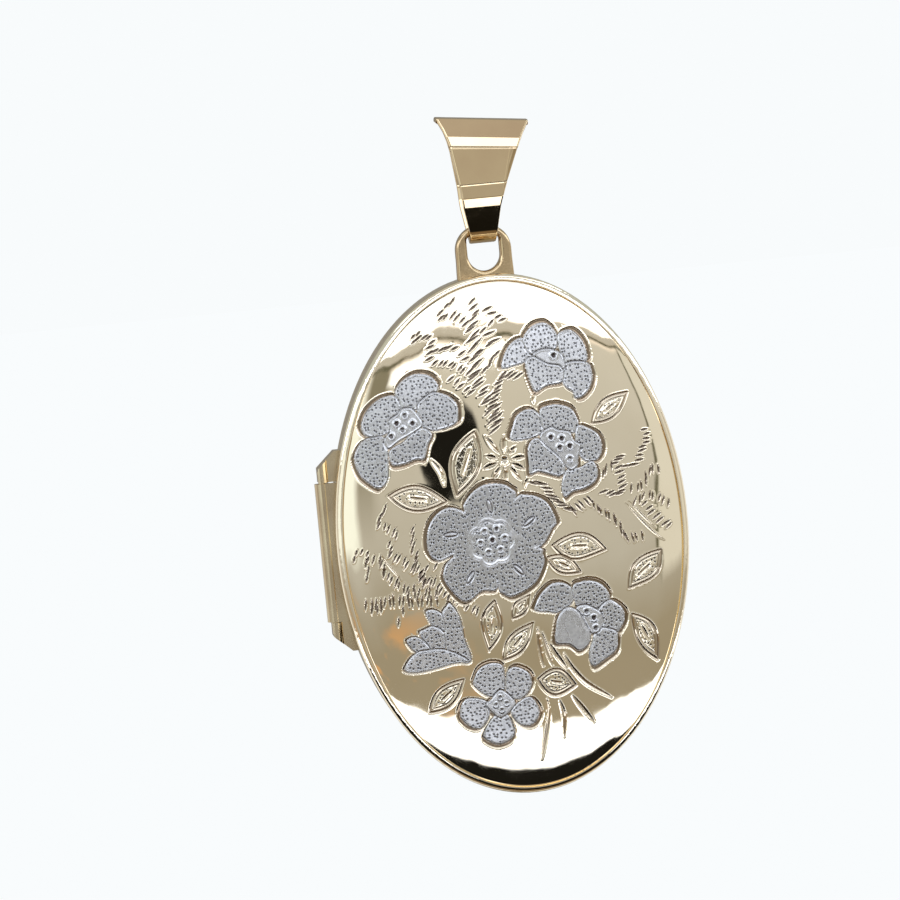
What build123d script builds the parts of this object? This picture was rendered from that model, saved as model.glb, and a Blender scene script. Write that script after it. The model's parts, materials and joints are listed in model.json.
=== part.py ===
"""Oval photo locket with an engraved hinged cover and a tapered bail.

The origin is the centre of the bail's chain passage. +Z points up out of the
bail, the engraved cover faces -Y and the hinge is on the -X side.
All sizes are in millimetres.
"""

from build123d import *
import math
import os

os.makedirs("parts", exist_ok=True)

FRONT = -1
BACK = 1

# Case: two domed halves that meet at a flat seam.
half_length = 15.8
half_width = 10.75
half_depth = 2.5
case_z = -23.0
seam_y = -0.45
seam_gap = 0.04

# Rim: the straight wall of each half, rounded towards its dome.
rim_wall = 0.40
rim_depth = 1.50
rim_round = 0.33

# Dome: an oval cap cut from an ellipsoid a little wider than the rim.
dome_spread = 1.05
dome_height = 1.50
sheet = 0.30

# Closing lip: stands up out of the back half, inside the cover's rim.
lip_height = 0.60
lip_clearance = 0.06
lip_inset = 0.70

# Catch: a pin through the lip that snaps into a dimple of the cover's rim.
nib_radius = 0.25
nib_length = 0.34
nib_proud = 0.045
nib_round = 0.036
nib_height = 0.32
dimple_radius = 0.32
dimple_depth = 0.10

# Photo holders: insets from the outline, and depths from the seam.
seat_inset = 0.85
frame_inset = 1.10
frame_side_inset = 1.25
picture_inset = 1.30
opening_inset = 1.90
frame_depth = 0.20
seat_top = 0.25
window_depth = 0.45
window_sheet = 0.30
seat_depth = 0.95
seat_sheet = 0.20

# Hinge: a tube on the cover turns on a pin held by two lugs of the back.
hinge_x = -11.17
tube_length = 8.40
tube_radius = 0.45
tube_bore = 0.25
tube_clearance = 0.06
pin_radius = 0.20
pin_length = 9.90
lug_gap = 0.05
lug_nose = 0.42
lug_depth = 1.10
lug_outer_x = -11.34
lug_slope_x = -10.25
lug_reach = 2.0
lug_shoulder = 5.10
lug_end = 6.10
leaf_front = 0.42
leaf_back = 0.06
leaf_reach = 1.0

# Nail nick in the back rim, opposite the hinge.
nick_length = 3.0
nick_radius = 0.45
nick_bite = 0.22

# Hanging loop: a flat arch on the back half, with its foot on the rim.
loop_thick = 0.80
loop_edge = 0.20
loop_half_width = 1.70
loop_top_z = -4.225
loop_corner = 1.50
foot_start_z = -6.35
foot_half_width = 1.74
foot_z = -7.60
hole_radius = 1.00
hole_z = -6.00
hole_top_z = -4.875
hole_corner = 0.28

# Bail: a folded strap with flat facets, hung on the top of the loop.
bail_wall = 0.30
bail_eye_radius = 1.25
bail_eye_slack = 0.145
bail_eye_z = hole_top_z - bail_eye_slack - bail_wall + bail_eye_radius
bail_top_z = 2.20
bail_facets = [
    (0, bail_top_z),
    (-0.75, 2.08),
    (-1.45, 0.95),
    (-1.70, 0.42),
    (-1.72, -1.82),
    (-1.67, -2.62),
    (-1.59, -3.18),
]
bail_flare = [(2.95, 2.40), (2.24, 0.94), (1.54, -1.41), (0.90, -4.45), (0.78, -5.60)]
bail_half_depth = 2.0
bail_back_share = 0.80

# Clear of every piece, for cuts that go right through.
beyond = 4.0


def case_plane(depth, side):
    """Plane parallel to the seam at this depth into one half, facing outwards."""
    return Plane(
        origin=(0, seam_y + side * depth, case_z), x_dir=(1, 0, 0), z_dir=(0, side, 0)
    )


def oval(inset, mode=Mode.ADD):
    """The case's outline, drawn in by an inset."""
    Ellipse(half_width - inset, half_length - inset, mode=mode)


def oval_plate(side, inset, near, far):
    """Solid oval between two depths of one half."""
    with BuildPart() as plate:
        with BuildSketch(case_plane(near, side)):
            oval(inset)
        extrude(amount=far - near)
    return plate.part


def hinge_rod(radius, length):
    """Round bar on the hinge's axis, centred on the case's height."""
    with BuildPart() as rod:
        with BuildSketch(Plane.XY.offset(case_z - length / 2)):
            with Locations((hinge_x, seam_y)):
                Circle(radius)
        extrude(amount=length)
    return rod.part


def ellipsoid(side, shrink):
    """Ellipsoid whose cap is a dome's surface; shrink gives its inner surface."""
    across = dome_spread * (half_width - rim_wall) - shrink
    along = dome_spread * (half_length - rim_wall) - shrink
    ball = scale(Sphere(1), by=(across, dome_height - shrink, along))
    return Pos(0, seam_y + side * (half_depth - dome_height), case_z) * ball


def finish(piece, name):
    """Label a piece and write it to its own file."""
    piece.label = name
    export_step(piece, f"parts/{name}.step")


case_core = oval_plate(FRONT, 0, -beyond, beyond)
tube_space = hinge_rod(tube_radius + tube_clearance, tube_length + 2 * lug_gap)
tube_body = hinge_rod(tube_radius, tube_length)
pin_space = hinge_rod(pin_radius, pin_length)


def dome(side):
    """Thin domed plate that closes one half inside its rim."""
    outside = ellipsoid(side, 0)
    inside = ellipsoid(side, sheet)
    with BuildPart() as shell:
        with BuildSketch(case_plane(half_depth - dome_height, side)):
            oval(rim_wall)
        extrude(amount=2 * dome_height)
        add(outside, mode=Mode.INTERSECT)
        add(inside, mode=Mode.SUBTRACT)
    return shell.part


def rim(side, near, hinge_relief):
    """Straight wall of one half, rounded at its outer edge and cleared for the hinge."""
    with BuildPart() as wall:
        with BuildSketch(case_plane(near, side)):
            oval(0)
            oval(rim_wall, mode=Mode.SUBTRACT)
        extrude(amount=rim_depth - near)
        far_face = wall.faces().sort_by(Axis.Y)[-1 if side == BACK else 0]
        fillet(far_face.outer_wire().edges(), radius=rim_round)
        add(hinge_relief, mode=Mode.SUBTRACT)
    return wall.part


def photo_seat(side):
    """Shallow tray: a flat plate with an upstanding wall that grips the frame."""
    with BuildPart() as seat:
        with BuildSketch(case_plane(seat_depth, side)):
            oval(rim_wall)
        extrude(amount=seat_sheet)
        with BuildSketch(case_plane(seat_top, side)):
            oval(seat_inset)
            oval(frame_inset, mode=Mode.SUBTRACT)
        extrude(amount=seat_depth - seat_top)
    return seat.part


def photo_frame(side):
    """Removable oval frame: a flange in front of the window, and a side wall."""
    with BuildPart() as frame:
        with BuildSketch(case_plane(frame_depth, side)):
            oval(frame_inset)
            oval(opening_inset, mode=Mode.SUBTRACT)
        extrude(amount=window_depth - frame_depth)
        with BuildSketch(case_plane(window_depth, side)):
            oval(frame_inset)
            oval(frame_side_inset, mode=Mode.SUBTRACT)
        extrude(amount=seat_depth - window_depth)
    return frame.part


def hinge_lug(end):
    """Wing of the back half beyond one end of the tube, holding the pin's end."""
    start = tube_length / 2 + lug_gap
    with BuildPart() as lug:
        with BuildSketch(Plane.XY.offset(case_z + end * start)):
            with Locations((hinge_x, seam_y)):
                Circle(lug_nose)
            with Locations((lug_outer_x, seam_y)):
                Rectangle(lug_reach, lug_depth, align=Align.MIN)
                Rectangle(beyond, beyond, align=(Align.MIN, Align.CENTER), mode=Mode.INTERSECT)
        extrude(amount=end * (lug_end - start))
        with BuildSketch(Plane.XZ):
            with BuildLine():
                Polyline(
                    (lug_outer_x, case_z + end * lug_shoulder),
                    (lug_slope_x, case_z + end * lug_end),
                    (lug_outer_x, case_z + end * lug_end),
                    close=True,
                )
            make_face()
        extrude(amount=beyond, both=True, mode=Mode.SUBTRACT)
        add(case_core, mode=Mode.SUBTRACT)
        add(pin_space, mode=Mode.SUBTRACT)
    return lug.part


def flared_block():
    """Block with the bail's flared outline: even in front, narrowing to its back."""
    shares = ((-bail_half_depth, 1), (0, 1), (bail_half_depth, bail_back_share))
    with BuildPart() as block:
        for depth, share in shares:
            with BuildSketch(Plane.XZ.offset(-depth)):
                with BuildLine():
                    flare = Spline(*[(share * x, z) for x, z in bail_flare])
                    Line(flare @ 0, (0, bail_flare[0][1]))
                    Line(flare @ 1, (0, bail_flare[-1][1]))
                    mirror(about=Plane.YZ)
                make_face()
        loft(ruled=True)
    return block.part


# Bail: side profile of the strap, cut to the flared outline of its front.
facet_y, facet_z = bail_facets[-1]
facet_reach = math.hypot(facet_y, facet_z - bail_eye_z)
facet_angle = math.degrees(math.atan2(facet_z - bail_eye_z, facet_y))
eye_start = facet_angle + math.degrees(math.acos(bail_eye_radius / facet_reach))

with BuildPart() as bail:
    with BuildSketch(Plane.YZ):
        with BuildLine():
            eye = CenterArc((0, bail_eye_z), bail_eye_radius, eye_start, 270 - eye_start)
            Polyline(*bail_facets, eye @ 0)
            mirror(about=Plane.YZ)
        make_face()
        offset(amount=-bail_wall, kind=Kind.INTERSECTION, mode=Mode.SUBTRACT)
    extrude(amount=beyond, both=True)
    add(flared_block(), mode=Mode.INTERSECT)
finish(bail.part, "bail")

# Hanging loop: arch with a round-bottomed hole and a foot fitted to the rim.
loop_plane = Plane.XZ.offset(-loop_thick / 2)
with BuildPart() as hanging_loop:
    with BuildSketch(loop_plane) as arch:
        with Locations((0, foot_start_z)):
            Rectangle(
                2 * loop_half_width,
                loop_top_z - foot_start_z,
                align=(Align.CENTER, Align.MIN),
            )
        fillet(arch.vertices().group_by(Axis.Y)[-1], radius=loop_corner)
        with BuildLine():
            Polyline(
                (-loop_half_width, foot_start_z),
                (-foot_half_width, foot_z),
                (foot_half_width, foot_z),
                (loop_half_width, foot_start_z),
                close=True,
            )
        make_face()
    extrude(amount=loop_thick)
    with BuildSketch(loop_plane) as hole:
        with Locations((0, hole_z)):
            Rectangle(
                2 * hole_radius, hole_top_z - hole_z, align=(Align.CENTER, Align.MIN)
            )
        fillet(hole.vertices().group_by(Axis.Y)[-1], radius=hole_corner)
        with Locations((0, hole_z)):
            Circle(hole_radius)
    extrude(amount=loop_thick, mode=Mode.SUBTRACT)
    wire_edges = [
        edge
        for face in hanging_loop.faces().filter_by(Axis.Y)
        for edge in face.edges()
        if edge.center().Z > foot_start_z - hole_radius
    ]
    fillet(wire_edges, radius=loop_edge)
    add(case_core, mode=Mode.SUBTRACT)
finish(hanging_loop.part, "hanging_loop")

# Back half: rim, dome, closing lip and catch.
nick = Pos(half_width + nick_radius - nick_bite, seam_y + nick_radius / 2, case_z) * Cylinder(
    nick_radius, nick_length
)
with BuildPart() as back_rim:
    add(rim(BACK, 0, tube_space))
    add(nick, mode=Mode.SUBTRACT)
finish(back_rim.part, "back_rim")
finish(dome(BACK), "back_shell")

lip_outer = rim_wall + lip_clearance
nib_plane = Plane(
    origin=(half_width - lip_outer + nib_proud, seam_y - nib_height, case_z),
    z_dir=(-1, 0, 0),
)
with BuildPart() as closing_lip:
    with BuildSketch(case_plane(-lip_height, BACK)):
        oval(lip_outer)
        oval(lip_inset, mode=Mode.SUBTRACT)
    extrude(amount=lip_height)
    with BuildSketch(case_plane(0, BACK)):
        oval(rim_wall)
        oval(lip_inset, mode=Mode.SUBTRACT)
    extrude(amount=seat_depth)
    with BuildSketch(nib_plane):
        Circle(nib_radius)
    extrude(amount=nib_length, mode=Mode.SUBTRACT)
finish(closing_lip.part, "closing_lip")

with BuildPart() as snap_nib:
    with BuildSketch(nib_plane):
        Circle(nib_radius)
    extrude(amount=nib_length)
    fillet(snap_nib.edges().group_by(Axis.X)[-1], radius=nib_round)
finish(snap_nib.part, "snap_nib")

# Hinge: two lugs and the pin of the back half, tube and leaf of the cover.
finish(hinge_lug(1), "hinge_lug_upper")
finish(hinge_lug(-1), "hinge_lug_lower")
finish(hinge_rod(pin_radius, pin_length), "hinge_pin")

with BuildPart() as hinge_tube:
    add(tube_body)
    add(hinge_rod(tube_bore, tube_length), mode=Mode.SUBTRACT)
finish(hinge_tube.part, "hinge_tube")

with BuildPart() as hinge_leaf:
    with BuildSketch(Plane.XY.offset(case_z - tube_length / 2)):
        with Locations((hinge_x, seam_y - leaf_front)):
            Rectangle(leaf_reach, leaf_front - leaf_back, align=Align.MIN)
    extrude(amount=tube_length)
    add(tube_body, mode=Mode.SUBTRACT)
    add(case_core, mode=Mode.SUBTRACT)
finish(hinge_leaf.part, "hinge_leaf")

# Cover: rim with the catch's dimple, and the engraved dome.
dimple_plane = Plane(
    origin=(half_width - rim_wall + dimple_depth, seam_y - nib_height, case_z),
    z_dir=(-1, 0, 0),
)
with BuildPart() as cover_rim:
    add(rim(FRONT, seam_gap, tube_body))
    with BuildSketch(dimple_plane):
        Circle(dimple_radius)
    extrude(amount=dimple_radius, mode=Mode.SUBTRACT)
finish(cover_rim.part, "cover_rim")
finish(dome(FRONT), "cover_shell")

# Photo holders, the same in both halves.
for half, side in (("back", BACK), ("cover", FRONT)):
    window_end = window_depth + window_sheet
    finish(photo_seat(side), f"{half}_photo_seat")
    finish(photo_frame(side), f"{half}_photo_frame")
    finish(oval_plate(side, picture_inset, window_depth, window_end), f"{half}_window")
    finish(oval_plate(side, picture_inset, window_end, seat_depth), f"{half}_photo")
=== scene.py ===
"""Looks of an oval photo locket: engraved cover, plain case, hinge, hanging loop and faceted bail.

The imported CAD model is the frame. Engraving is laid out in millimetres on the cover plate,
u to the right and v up from the plate's middle, and cut into a fine height grid. Only the
petals' outlines are given in tenths of a millimetre.
"""

import json
import math

import bpy
import numpy as np
from mathutils import Matrix, Vector


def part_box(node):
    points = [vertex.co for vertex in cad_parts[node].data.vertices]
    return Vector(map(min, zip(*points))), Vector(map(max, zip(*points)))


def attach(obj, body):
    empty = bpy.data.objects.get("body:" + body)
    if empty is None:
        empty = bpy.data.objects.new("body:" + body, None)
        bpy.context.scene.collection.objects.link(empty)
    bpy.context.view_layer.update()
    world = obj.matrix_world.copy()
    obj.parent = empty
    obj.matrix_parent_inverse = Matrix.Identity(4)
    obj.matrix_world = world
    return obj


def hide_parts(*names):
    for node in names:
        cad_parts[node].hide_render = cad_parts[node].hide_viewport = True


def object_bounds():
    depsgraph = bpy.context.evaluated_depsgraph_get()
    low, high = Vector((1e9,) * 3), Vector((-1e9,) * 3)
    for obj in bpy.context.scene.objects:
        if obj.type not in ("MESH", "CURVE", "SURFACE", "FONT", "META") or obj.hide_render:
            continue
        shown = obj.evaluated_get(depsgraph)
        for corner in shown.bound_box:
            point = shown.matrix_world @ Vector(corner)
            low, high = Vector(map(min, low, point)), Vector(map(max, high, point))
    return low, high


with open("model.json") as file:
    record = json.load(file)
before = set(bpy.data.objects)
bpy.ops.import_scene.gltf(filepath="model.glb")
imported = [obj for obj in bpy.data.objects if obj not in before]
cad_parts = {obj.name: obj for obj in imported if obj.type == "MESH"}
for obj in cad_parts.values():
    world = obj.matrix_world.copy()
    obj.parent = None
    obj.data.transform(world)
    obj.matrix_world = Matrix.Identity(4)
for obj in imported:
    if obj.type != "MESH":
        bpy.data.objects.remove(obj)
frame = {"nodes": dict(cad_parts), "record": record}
cad_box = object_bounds()

MM = 0.001
rng = np.random.default_rng(7)


# ---------------------------------------------------------------- mesh helpers


def add_piece(name, vertices, faces, body, material, node):
    """Make a smooth-shaded mesh piece that rides on a body and stands for a CAD node."""
    mesh = bpy.data.meshes.new(name)
    mesh.from_pydata([tuple(v) for v in vertices], [], faces)
    mesh.validate()
    mesh.shade_smooth()
    piece = bpy.data.objects.new(name, mesh)
    bpy.context.scene.collection.objects.link(piece)
    mesh.materials.append(material)
    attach(piece, body)
    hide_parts(node)
    return piece


def add_values(mesh, name, values):
    """Store one number per vertex, for a material to read."""
    layer = mesh.attributes.new(name, "FLOAT", "POINT")
    layer.data.foreach_set("value", np.asarray(values, np.float32))


# ------------------------------------------------------------------- materials


class Graph:
    """A node tree, with short calls for the nodes used here."""

    def add(self, kind, **inputs):
        """A new node with the given inputs."""
        node = self.tree.nodes.new(kind)
        for key, item in inputs.items():
            self.feed(node.inputs[key.replace("_", " ")], item)
        return node

    def feed(self, socket, item):
        """Give a socket a number, a triple or another node's output."""
        if isinstance(item, bpy.types.NodeSocket):
            self.tree.links.new(item, socket)
        else:
            socket.default_value = (*item, 1) if socket.type == "RGBA" else item

    def ripple(self, place, scale, detail):
        """Noise between about 0.3 and 0.7."""
        return self.add("ShaderNodeTexNoise", Vector=place, Scale=scale, Detail=detail).outputs["Fac"]

    def mapped(self, place, scale, rotation=(0, 0, 0)):
        node = self.add("ShaderNodeMapping", Vector=place, Scale=scale, Rotation=rotation)
        return node.outputs["Vector"]

    def span(self, source, low, high, to_low=0, to_high=1):
        """From one number at low to another at high, and level beyond them."""
        ends = {"From_Min": low, "From_Max": high, "To_Min": to_low, "To_Max": to_high}
        return self.add("ShaderNodeMapRange", Value=source, **ends).outputs["Result"]

    def maths(self, operation, *items):
        node = self.add("ShaderNodeMath")
        node.operation = operation
        for socket, item in zip(node.inputs, items):
            self.feed(socket, item)
        return node.outputs["Value"]

    def times(self, a, b):
        return self.maths("MULTIPLY", a, b)

    def mix(self, factor, a, b):
        """Blend of two colours, each an RGB triple or another node's output."""
        node = self.add("ShaderNodeMix", Factor=factor)
        node.data_type = "RGBA"
        self.feed(node.inputs[6], a)
        self.feed(node.inputs[7], b)
        return node.outputs[2]


class Nodes(Graph):
    """A material's node tree."""

    def __init__(self, name):
        self.material = bpy.data.materials.new(name)
        self.material.use_nodes = True
        self.tree = self.material.node_tree
        self.shader = self.tree.nodes["Principled BSDF"]
        self.place = self.add("ShaderNodeTexCoord").outputs["Object"]

    def noise(self, waves, detail, stretch=None):
        """Noise at so many waves per millimetre, stretched and turned if asked."""
        place = self.mapped(self.place, *stretch) if stretch else self.place
        return self.ripple(place, waves / MM, detail)

    def dots(self, pitch, radius):
        """1 inside small round punch dots scattered over the front, 0 between them."""
        front = self.mapped(self.place, (1, 1, 1), (math.pi / 2, 0, 0))
        scale = 1 / (pitch * MM)
        node = self.add("ShaderNodeTexVoronoi", Vector=front, Scale=scale, Randomness=0.75)
        node.voronoi_dimensions = "2D"
        edge = radius / pitch
        return self.span(node.outputs["Distance"], 0.6 * edge, 1.3 * edge, 1, 0)

    def value(self, name):
        """A number stored on the mesh's vertices."""
        node = self.add("ShaderNodeAttribute")
        node.attribute_name = name
        return node.outputs["Fac"]

    def bump(self, height, distance, below=None):
        node = self.add("ShaderNodeBump", Height=height, Distance=distance * MM, Strength=1.0)
        if below:
            self.feed(node.inputs["Normal"], below)
        return node.outputs["Normal"]

    def set(self, **sockets):
        for key, item in sockets.items():
            self.feed(self.shader.inputs[key.replace("_", " ")], item)


def scratches(n):
    """Fine polishing lines in three directions, as one height."""
    first, second, third = (n.noise(0.5, 3, ((1, 30, 30), (0, a, a / 2))) for a in (0.4, 1.3, 2.3))
    return n.maths("ADD", n.maths("ADD", first, second), third)


def gold(name, colour, shade, rough, wave=0.0003, line=0.00004):
    """Polished gold: faint colour drift, wiped-dull patches, soft waves and fine lines."""
    n = Nodes(name)
    drift = n.span(n.noise(0.35, 4), 0.35, 0.65)
    smear = n.span(n.noise(0.9, 6), 0.4, 0.7, 0.8 * rough, 1.7 * rough)
    waves = n.bump(n.noise(0.22, 1), wave)
    lines = n.bump(scratches(n), line, waves)
    n.set(Metallic=1.0, Base_Color=n.mix(drift, colour, shade), Roughness=smear, Normal=lines)
    return n.material


def engraved_gold():
    """Gold plate, its cuts and bevels painted darker as shade; rhodium-white stippled petals; painted shade
    in holes, outlines and pits.
    """
    n = Nodes("engraved_gold")
    drift = n.span(n.noise(0.35, 4), 0.35, 0.65)
    plate = n.mix(drift, PLATE_GOLD, PLATE_SHADE)
    # painted shade: where the 'cut' value is high, cut floors, petal bevels and leaf bands are painted a
    # darker gold
    cuts = n.mix(n.value("cut"), plate, CUT_SHADE)
    grain = n.span(n.noise(5, 3), 0.35, 0.65)
    petals = n.mix(grain, RHODIUM, RHODIUM_SHADE)
    coated = n.mix(n.value("white"), cuts, petals)
    pits = n.times(n.value("stipple"), n.dots(STIPPLE_PITCH, STIPPLE_PIT))
    # painted shade: where the 'dark' value is high, bead holes, outlines and groove floors are painted near
    # black
    shaded = n.mix(n.value("dark"), coated, HOLLOW_SHADE)
    # painted shade: the punched stipple pits are painted near black, with a small bump as well
    colour = n.mix(n.times(pits, 0.85), shaded, PIT_SHADE)
    smear = n.span(n.noise(0.9, 6), 0.4, 0.7, 0.02, 0.05)
    worn = n.times(n.value("white"), 0.24)
    dull = n.times(n.value("matt"), 0.12)
    rough = n.maths("ADD", smear, n.maths("ADD", worn, dull))
    lines = n.bump(scratches(n), 0.00003)
    punched = n.bump(n.times(pits, -1), STIPPLE_DEPTH, lines)
    n.set(Metallic=1.0, Base_Color=colour, Roughness=rough, Normal=punched)
    return n.material


PLATE_GOLD = (0.90, 0.785, 0.575)
PLATE_SHADE = (0.87, 0.755, 0.545)
# painted shade and reflection for the engraved cuts, petal bevels and leaf bands
CUT_SHADE = (0.27, 0.20, 0.13)
RHODIUM = (0.62, 0.61, 0.58)
RHODIUM_SHADE = (0.48, 0.47, 0.45)
# painted shade for bead holes, petal and slit outlines and groove floors
HOLLOW_SHADE = (0.07, 0.055, 0.05)
# painted shade for the stipple pits
PIT_SHADE = (0.06, 0.055, 0.055)
STIPPLE_PITCH = 0.25
STIPPLE_PIT = 0.063
STIPPLE_DEPTH = 0.02


def photo_paper():
    """Blank ivory photo paper with fibres."""
    n = Nodes("photo_paper")
    fibre = n.noise(3, 5, ((1, 3, 1), (0, 0.5, 0)))
    tone = n.mix(n.span(fibre, 0.35, 0.65), (0.80, 0.76, 0.68), (0.70, 0.65, 0.56))
    n.set(Base_Color=tone, Roughness=0.6, Normal=n.bump(fibre, 0.004))
    return n.material


def clear_window():
    """Thin clear acetate with faint wiping marks."""
    n = Nodes("clear_window")
    marks = n.span(n.noise(0.8, 5), 0.4, 0.7, 0.22, 0.30)
    tint = n.mix(n.noise(0.3, 2), (0.97, 0.98, 0.98), (0.93, 0.95, 0.95))
    n.set(Base_Color=tint, Roughness=marks, Alpha=0.25, IOR=1.49)
    return n.material


# -------------------------------------------------------------- engraving grid

BLOCK = 4
BLOCKS_U = 124
BLOCKS_V = 184
BLOCK_SIZE = 0.25
INNER_STEP = 4

plate_low, plate_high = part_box("cover_shell")
plate_middle = (plate_low + plate_high) / 2
SEMI_U = (plate_high.x - plate_low.x) / 2 / MM
SEMI_V = (plate_high.z - plate_low.z) / 2 / MM
DOME_SPREAD = 1.05
DOME_HEIGHT = 1.50
DOME_FLATTER = 0.6
SHEET = 0.30
SUNK = 0.025

side_u = np.linspace(-1, 1, BLOCK * BLOCKS_U + 1)[:, None]
side_v = np.linspace(-1, 1, BLOCK * BLOCKS_V + 1)[None, :]
PLATE_U = SEMI_U * side_u * np.sqrt(1 - side_v**2 / 2)
PLATE_V = SEMI_V * side_v * np.sqrt(1 - side_u**2 / 2)


def dome(u, v, shrink=0.0):
    """Height of the plate above its edge plane: an ellipsoid, pressed a little flatter outwards."""
    across = DOME_SPREAD * SEMI_U - shrink
    along = DOME_SPREAD * SEMI_V - shrink
    inside = np.maximum(1 - (u / across) ** 2 - (v / along) ** 2, 0)
    ball = (DOME_HEIGHT - shrink) * np.sqrt(inside)
    edge = DOME_HEIGHT * math.sqrt(1 - 1 / DOME_SPREAD**2)
    bowl = DOME_HEIGHT - (DOME_HEIGHT - edge) * ((u / SEMI_U) ** 2 + (v / SEMI_V) ** 2) - shrink
    return ball + DOME_FLATTER * (bowl - ball)


# The bouquet is laid out flat and thrown on the dome along this slant, right and down.
SLANT_U = 0.12
SLANT_V = -0.08
EDGE_RISE = 0.23
U = PLATE_U + SLANT_U * (EDGE_RISE + dome(PLATE_U, PLATE_V))
V = PLATE_V + SLANT_V * (EDGE_RISE + dome(PLATE_U, PLATE_V))
relief, white, cut, matt, dark, stipple = (np.zeros(U.shape) for _ in range(6))


def curve(a, b, c, d, t):
    """Point part t of the way from b to c on a smooth curve through four points."""
    bend = 0.5 * t**2 * (2 * a - 5 * b + 4 * c - d) + 0.5 * t**3 * (3 * b - a - 3 * c + d)
    return b + 0.5 * t * (c - a) + bend


def smooth_loop(outline, steps=6):
    """Closed rounded outline in millimetres, through points given in tenths of one."""
    p = np.array(outline) / 10
    ends = np.roll(p, 1, 0), p, np.roll(p, -1, 0), np.roll(p, -2, 0)
    return np.stack([curve(*ends, t) for t in np.arange(steps) / steps], 1).reshape(-1, 2)


def smooth_line(points, steps=8):
    """Open rounded line through the given points."""
    p = np.array(points, float)
    if len(p) == 2:
        return p[0] + np.linspace(0, 1, steps + 1)[:, None] * (p[1] - p[0])
    q = np.vstack([2 * p[0] - p[1], p, 2 * p[-1] - p[-2]])
    rows = [curve(*q[k : k + 4], t) for k in range(len(p) - 1) for t in np.arange(steps) / steps]
    return np.array([*rows, p[-1]])


def patch(points, margin):
    """Slice of the grid that covers some points and a margin around them."""
    low = np.min(points, 0) - margin - BLOCK_SIZE
    high = np.max(points, 0) + margin + BLOCK_SIZE
    u, v = U[::BLOCK, ::BLOCK], V[::BLOCK, ::BLOCK]
    i, j = np.nonzero((u > low[0]) & (u < high[0]) & (v > low[1]) & (v < high[1]))
    return np.s_[i.min() * BLOCK : i.max() * BLOCK + 1, j.min() * BLOCK : j.max() * BLOCK + 1]


def to_line(here, line):
    """Distance from each grid point of a slice to a line, and how far along it (0 to 1)."""
    at = np.stack([U[here], V[here]], -1)[..., None, :]
    a, b = line[:-1], line[1:]
    run = b - a
    t = np.clip(((at - a) * run).sum(-1) / np.maximum((run**2).sum(-1), 1e-12), 0, 1)
    gap = np.linalg.norm(at - a - t[..., None] * run, axis=-1)
    best = gap.argmin(-1)
    lengths = np.linalg.norm(run, axis=-1)
    starts = np.concatenate([[0], np.cumsum(lengths)[:-1]])
    pick = np.take_along_axis(t, best[..., None], -1)[..., 0]
    along = (starts[best] + pick * lengths[best]) / lengths.sum()
    return np.take_along_axis(gap, best[..., None], -1)[..., 0], along


def from_loop(here, loop):
    """Signed distance to a closed outline, negative inside."""
    closed = np.vstack([loop, loop[:1]])
    gap = to_line(here, closed)[0]
    u, v = U[here][..., None], V[here][..., None]
    a, b = closed[:-1], closed[1:]
    crosses = (a[:, 1] > v) != (b[:, 1] > v)
    rise = np.where(np.abs(b[:, 1] - a[:, 1]) < 1e-9, 1e-9, b[:, 1] - a[:, 1])
    hit = u < a[:, 0] + (v - a[:, 1]) / rise * (b[:, 0] - a[:, 0])
    inside = (crosses & hit).sum(-1) % 2 == 1
    return np.where(inside, -gap, gap)


# ----------------------------------------------------------- engraver's strokes

PETAL_CUT = 0.10
PETAL_BEVEL = 0.27
PETAL_SINK = 0.030
LINE_DEPTH = 0.045
LEAF_BAND = 0.21
FINE = 0.035


def ramp(x, low, high):
    """From 0 at low to 1 at high."""
    return np.clip((x - low) / (high - low), 0, 1)


def ridge(gap, width):
    """Round-topped bump, 1 where the gap is 0."""
    return np.exp(-((gap / width) ** 2))


def raise_to(values, here, amount):
    """Raise one of the plate's values to at least this amount."""
    values[here] = np.maximum(values[here], amount)


def grow(loop, heart, bevel):
    """Outline pushed away from the flower's heart, most at the petal tips."""
    away = loop - heart
    far = np.linalg.norm(away, axis=1, keepdims=True)
    return loop + away / far * bevel * np.clip((far / far.max() - 0.25) / 0.75, 0.12, 1)


def petal_shape(heart, outlines, plain=False, bevel=PETAL_BEVEL):
    """Lay one or more joined petals on the plate: a gold bevel, painted darker as shade, round white
    stippled metal, with a line of painted shade along the outline.
    """
    loops = [smooth_loop(points) for points in outlines]
    outers = [grow(loop, np.array(heart), bevel) for loop in loops]
    here = patch(np.vstack(outers), 0.3)
    inner = np.min([from_loop(here, loop) for loop in loops], 0)
    outer = np.min([from_loop(here, loop) for loop in outers], 0)
    outer = np.minimum(outer, inner - 0.03)
    petal = inner < 0
    over = white[here] > 0.5
    rim = (outer < 0) & ~petal & ~over
    share = np.clip(inner / np.maximum(inner - outer, 1e-6), 0, 1)
    face = -PETAL_SINK - (PETAL_CUT - PETAL_SINK) * ridge(inner, 0.055)
    face = face + 0.030 * ridge(inner + 0.07, FINE)
    new = np.where(petal, face, relief[here])
    step = np.clip(share / 0.2, 0, 1) * np.clip((1 - share) / 0.2, 0, 1)
    new = np.where(rim, -PETAL_SINK - 0.03 * step - 0.02 * (1 - share), new)
    edge_line = (outer >= 0) & (outer < 0.06) & ~over & ~petal
    new = np.where(edge_line, new + 0.02 * (1 - outer / 0.06), new)
    shadow = over & ~petal
    new = np.where(shadow, new - 0.05 * ridge(inner, 0.05), new)
    relief[here] = new
    white[here] = np.where(petal, 1.0, np.where(rim, 0.0, white[here]))
    # painted shade: the bevel is painted dark, lighter towards its outer edge
    cut[here] = np.where(rim, 1.0 - 0.8 * share**6, np.where(petal, 0, cut[here]))
    dark[here] = np.where(petal | rim, 0.0, dark[here])
    # painted shade: a dark line along the petal's outline
    raise_to(dark, here, 0.45 * ridge(inner, FINE))
    coverage = ramp(-inner, 0.07, 0.12)
    stipple[here] = np.where(petal, 0.0 if plain else coverage, stipple[here])


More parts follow.
